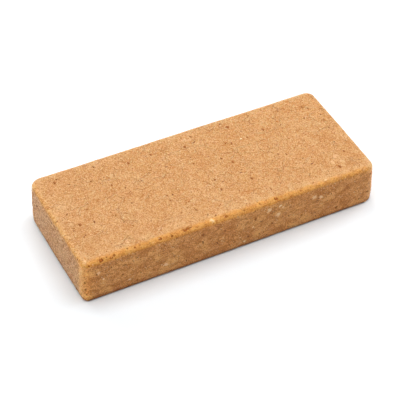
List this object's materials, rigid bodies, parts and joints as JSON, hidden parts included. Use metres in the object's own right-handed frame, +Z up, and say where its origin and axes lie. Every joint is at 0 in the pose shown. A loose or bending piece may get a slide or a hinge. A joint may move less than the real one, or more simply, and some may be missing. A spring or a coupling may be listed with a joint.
{
  "type": "meal replacement bar",
  "caption": "Unwrapped meal replacement bar: a flat rounded block of smooth tan dough with crumbly cut sides, lying on its flat base.",
  "frame": {"origin": "middle of the flat base that the bar lies on, under the middle of its outline", "axes": "+X along the bar's length, +Y across its width, +Z up through its thickness, out of the smooth top"},
  "size_m": [0.0972, 0.0414, 0.0142],
  "materials": {
    "dough": "satin"
  },
  "bodies": {
    "root": {"bar": "dough"}
  },
  "joints": []
}
